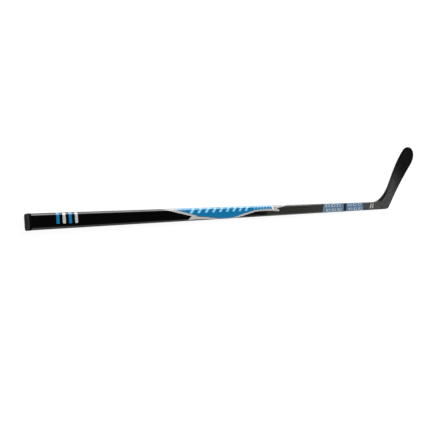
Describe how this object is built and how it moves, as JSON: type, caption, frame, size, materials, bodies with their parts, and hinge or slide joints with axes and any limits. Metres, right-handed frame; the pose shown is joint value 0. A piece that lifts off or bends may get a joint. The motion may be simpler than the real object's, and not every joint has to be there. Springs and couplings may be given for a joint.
{
  "type": "ice hockey stick",
  "caption": "Left-handed ice hockey stick: hollow rectangular composite shaft, fused foam-core blade with a curved, open face, and a removable butt plug.",
  "frame": {"origin": "centre of the bounding box on the plane the stick lies on, backhand side down", "axes": "+X along the shaft from the butt to the blade, +Y the way the blade rises from the shaft, +Z out of the forehand face"},
  "size_m": [1.7282, 0.2698, 0.0533],
  "materials": {
    "woven_carbon": "gloss",
    "unidirectional_carbon": "satin",
    "fuse_wrap_carbon": "satin",
    "tenon_epoxy": "satin",
    "hosel_laminate": "satin",
    "hosel_foam": "matte",
    "blade_carbon": "satin",
    "blade_carbon_back": "satin",
    "edge_rail_carbon": "satin",
    "bridge_carbon": "satin",
    "blade_foam": "matte",
    "heel_filler": "matte",
    "toe_filler": "matte",
    "plug_plastic": "matte",
    "hot_melt_glue": "satin",
    "blue_film": "gloss",
    "silver_film": "gloss",
    "steel_blue_film": "gloss"
  },
  "bodies": {
    "stick": {"shaft_outer_wrap": "woven_carbon", "shaft_inner_tube": "unidirectional_carbon", "fuse_wrap": "fuse_wrap_carbon", "tenon_glue_film": "tenon_epoxy", "hosel_tenon": "hosel_laminate", "hosel_foam_core": "hosel_foam", "forehand_shell": "blade_carbon", "backhand_shell": "blade_carbon_back", "bottom_edge_rail": "edge_rail_carbon", "top_edge_rail": "edge_rail_carbon", "heel_block": "heel_filler", "lower_foam_core": "blade_foam", "bridge_rib": "bridge_carbon", "upper_foam_core": "blade_foam", "toe_insert": "toe_filler", "butt_mark_film": "blue_film", "mid_panel_film": "blue_film", "rear_stripe_film": "silver_film", "front_stripe_film": "silver_film", "lower_band_film": "steel_blue_film", "heel_mark_film": "silver_film"},
    "plug": {"end_plug": "plug_plastic", "plug_glue_sleeve": "hot_melt_glue"}
  },
  "joints": [
    {"name": "plug_pull", "type": "slide", "parent": "stick", "child": "plug", "axis": [-1, 0, 0], "range_m": [0, 0.06]}
  ]
}
